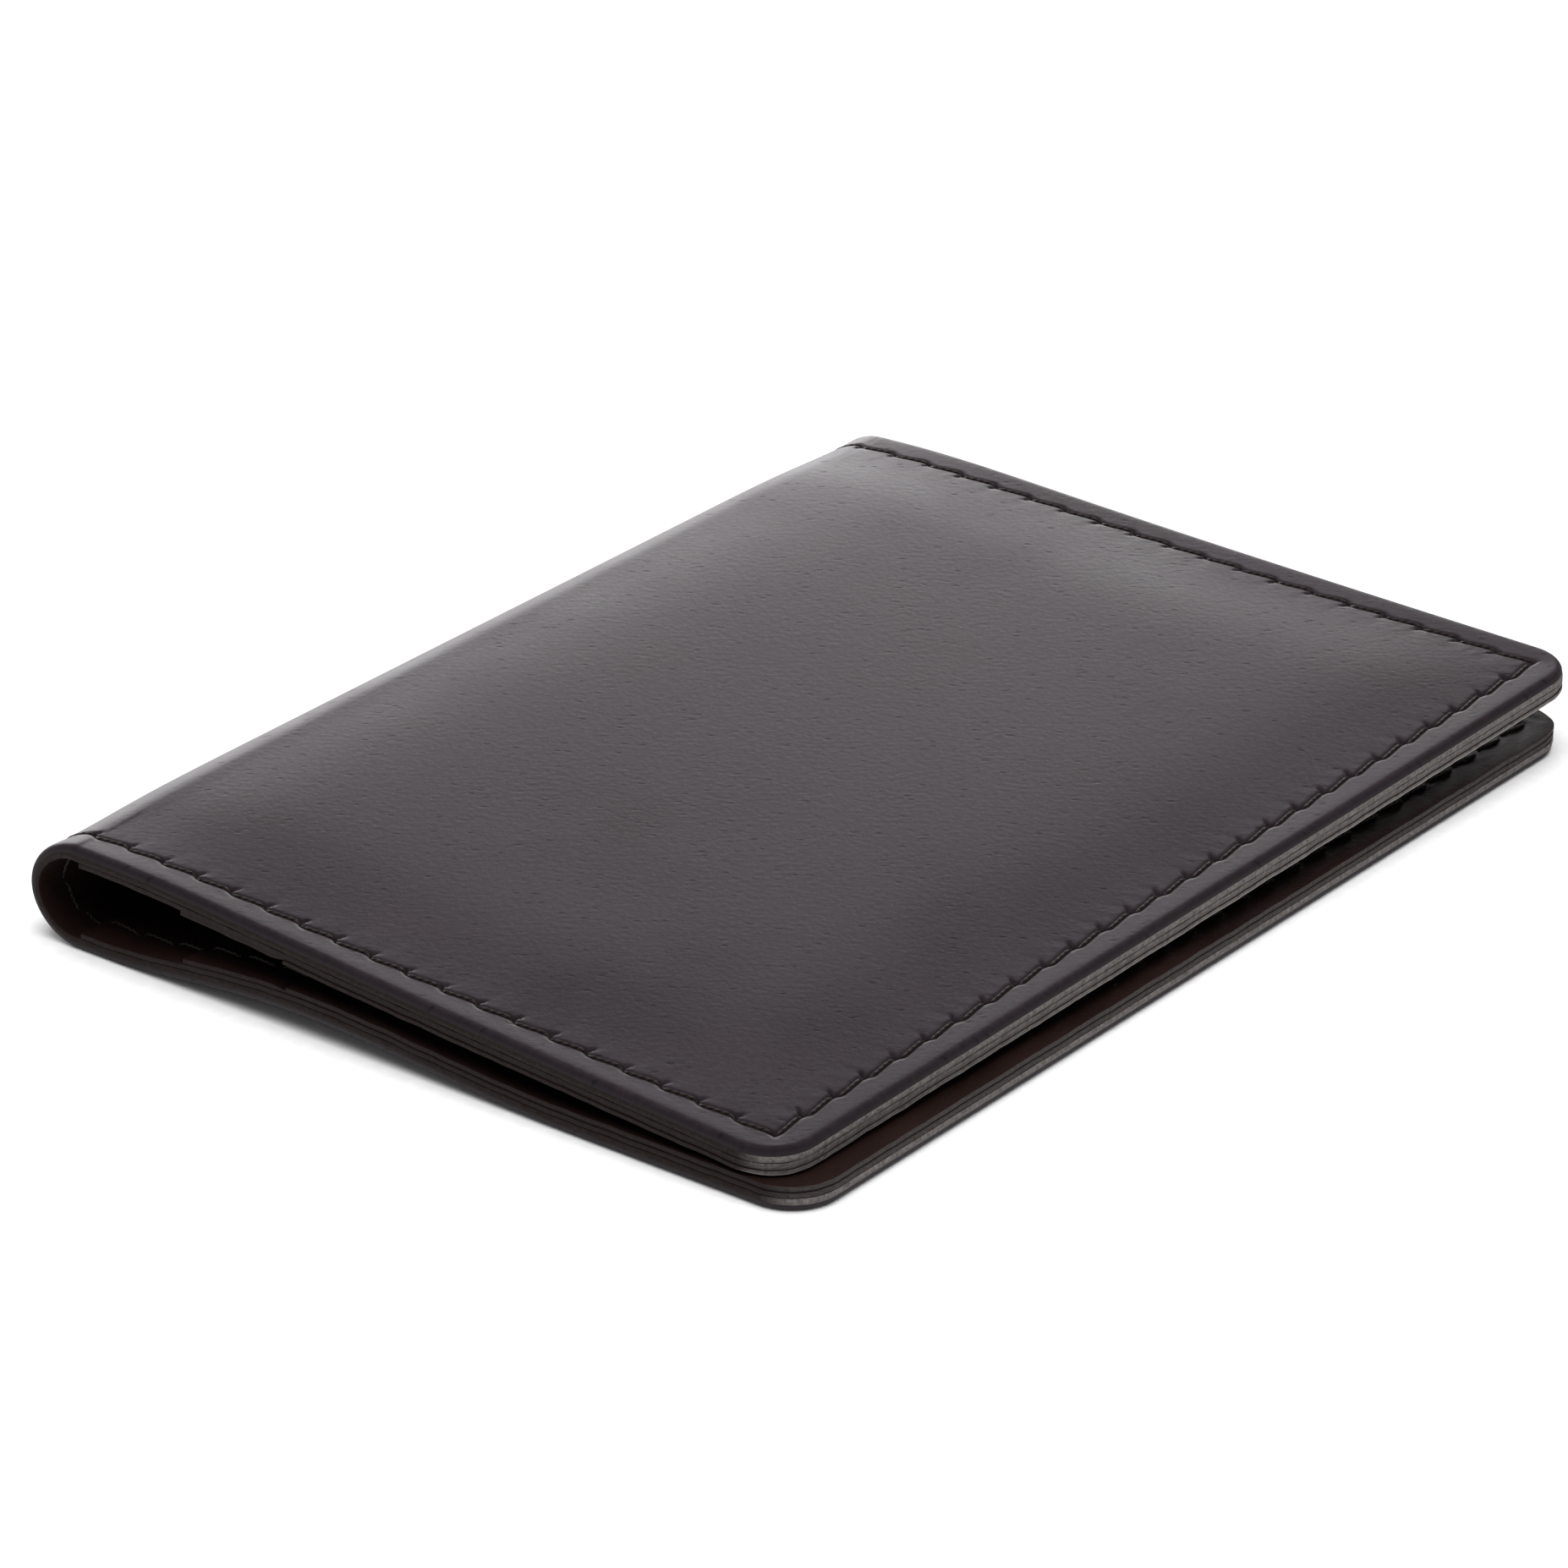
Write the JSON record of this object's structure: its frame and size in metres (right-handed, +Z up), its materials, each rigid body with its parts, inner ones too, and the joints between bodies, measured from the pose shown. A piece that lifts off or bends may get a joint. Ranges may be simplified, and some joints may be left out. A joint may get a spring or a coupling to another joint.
{
  "type": "bifold wallet",
  "caption": "Closed leather bifold wallet with card slots on both inner faces, perimeter stitching and a soft fold that opens flat.",
  "frame": {"origin": "under the middle of the closed wallet, on the surface that it lies on", "axes": "+X from the fold to the free edges, +Y along the fold, +Z up through the closed wallet"},
  "size_m": [0.08, 0.109, 0.0091],
  "materials": {
    "cover_leather": "smooth waxed leather, satin",
    "lining_leather": "thin smooth leather, matt",
    "thread": "waxed sewing thread"
  },
  "bodies": {
    "back": {"cover_back": "cover_leather", "back_lining": "lining_leather", "back_slot_1": "lining_leather", "back_slot_2": "lining_leather", "back_outer_stitching": "thread", "back_inner_stitching": "thread"},
    "fold_1": {"fold_strip_1": "cover_leather", "fold_stitching_1": "thread"},
    "fold_2": {"fold_strip_2": "cover_leather", "fold_stitching_2": "thread"},
    "fold_3": {"fold_strip_3": "cover_leather", "fold_stitching_3": "thread"},
    "fold_4": {"fold_strip_4": "cover_leather", "fold_stitching_4": "thread"},
    "fold_5": {"fold_strip_5": "cover_leather", "fold_stitching_5": "thread"},
    "front": {"cover_front": "cover_leather", "front_lining": "lining_leather", "front_slot_1": "lining_leather", "front_slot_2": "lining_leather", "front_outer_stitching": "thread", "front_inner_stitching": "thread"}
  },
  "joints": [
    {"name": "fold_bend_1", "type": "hinge", "parent": "back", "child": "fold_1", "pos_m": [-0.03668, 0, 0], "axis": [0, -1, 0], "range_deg": [0, 30.31]},
    {"name": "fold_bend_2", "type": "hinge", "parent": "fold_1", "child": "fold_2", "pos_m": [-0.0388, 0, 0.00124], "axis": [0, -1, 0], "range_deg": [0, 30.31]},
    {"name": "fold_bend_3", "type": "hinge", "parent": "fold_2", "child": "fold_3", "pos_m": [-0.04, 0, 0.00338], "axis": [0, -1, 0], "range_deg": [0, 30.31]},
    {"name": "fold_bend_4", "type": "hinge", "parent": "fold_3", "child": "fold_4", "pos_m": [-0.03996, 0, 0.00583], "axis": [0, -1, 0], "range_deg": [0, 30.31]},
    {"name": "fold_bend_5", "type": "hinge", "parent": "fold_4", "child": "fold_5", "pos_m": [-0.03869, 0, 0.00793], "axis": [0, -1, 0], "range_deg": [0, 30.31]},
    {"name": "front_opening", "type": "hinge", "parent": "fold_5", "child": "front", "pos_m": [-0.03653, 0, 0.0091], "axis": [0, -1, 0], "range_deg": [0, 30.31]}
  ],
  "couplings": [
    {"joint": "fold_bend_1", "follows": "front_opening", "ratio": 1},
    {"joint": "fold_bend_2", "follows": "front_opening", "ratio": 1},
    {"joint": "fold_bend_3", "follows": "front_opening", "ratio": 1},
    {"joint": "fold_bend_4", "follows": "front_opening", "ratio": 1},
    {"joint": "fold_bend_5", "follows": "front_opening", "ratio": 1}
  ]
}
